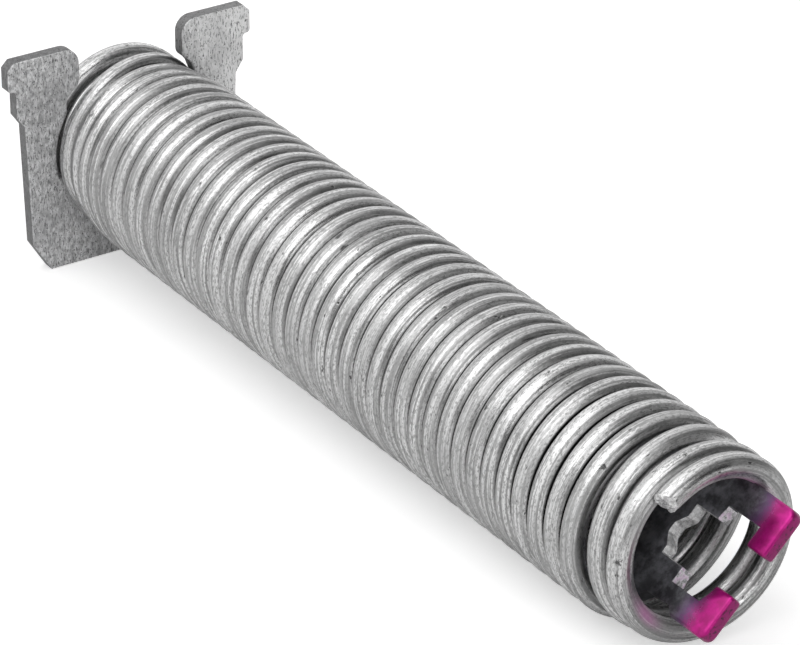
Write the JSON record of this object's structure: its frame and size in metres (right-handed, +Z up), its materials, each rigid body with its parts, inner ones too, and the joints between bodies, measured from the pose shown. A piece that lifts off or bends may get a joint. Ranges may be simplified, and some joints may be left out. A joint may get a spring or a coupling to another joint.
{
  "type": "extension spring",
  "caption": "Close-wound extension spring with a T-headed hanger plate seated in one end and a twin-hook plate in the other, for an appliance door hinge.",
  "frame": {"origin": "on the coil's axis, at the front face of the hanger plate, which is the face towards the hooks", "axes": "+X along the coil's axis towards the hooks, +Z up, towards the hanger plate's T-headed arms"},
  "size_m": [0.1415, 0.0364, 0.0309],
  "materials": {
    "spring_wire": "bright drawn wire, with fine draw lines",
    "galvanised_sheet": "zinc coated, mottled",
    "hook_plate_steel": "dark steel, hooks coated glossy magenta"
  },
  "bodies": {
    "root": {"coil_spring": "spring_wire", "hanger_plate": "galvanised_sheet", "hook_plate": "hook_plate_steel"}
  },
  "joints": []
}
